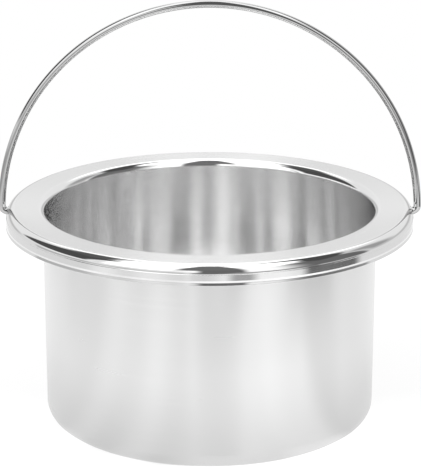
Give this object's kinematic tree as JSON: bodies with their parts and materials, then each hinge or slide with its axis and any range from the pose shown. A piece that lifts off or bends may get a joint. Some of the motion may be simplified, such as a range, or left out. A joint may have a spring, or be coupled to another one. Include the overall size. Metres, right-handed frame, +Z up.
{
  "type": "candle melting pot",
  "caption": "Round drawn aluminium pot with a flat turned-down rim and a swinging wire bail, for melting wax in a warmer.",
  "frame": {"origin": "centre of the pot's flat underside", "axes": "+Z up out of the pot's opening, X along the bail's hinge axis, Y along the bail's swing"},
  "size_m": [0.1456, 0.14, 0.1465],
  "materials": {
    "drawn_aluminium": "bright drawn sheet, satin inside, polished on the rim's edge",
    "polished_steel_wire": "polished round wire"
  },
  "bodies": {
    "pot": {"pot_body": "drawn_aluminium"},
    "bail": {"wire_bail": "polished_steel_wire"}
  },
  "joints": [
    {"name": "bail_swing", "type": "hinge", "parent": "pot", "child": "bail", "pos_m": [0, 0, 0.0728], "axis": [1, 0, 0], "range_deg": [-125, 125]}
  ]
}
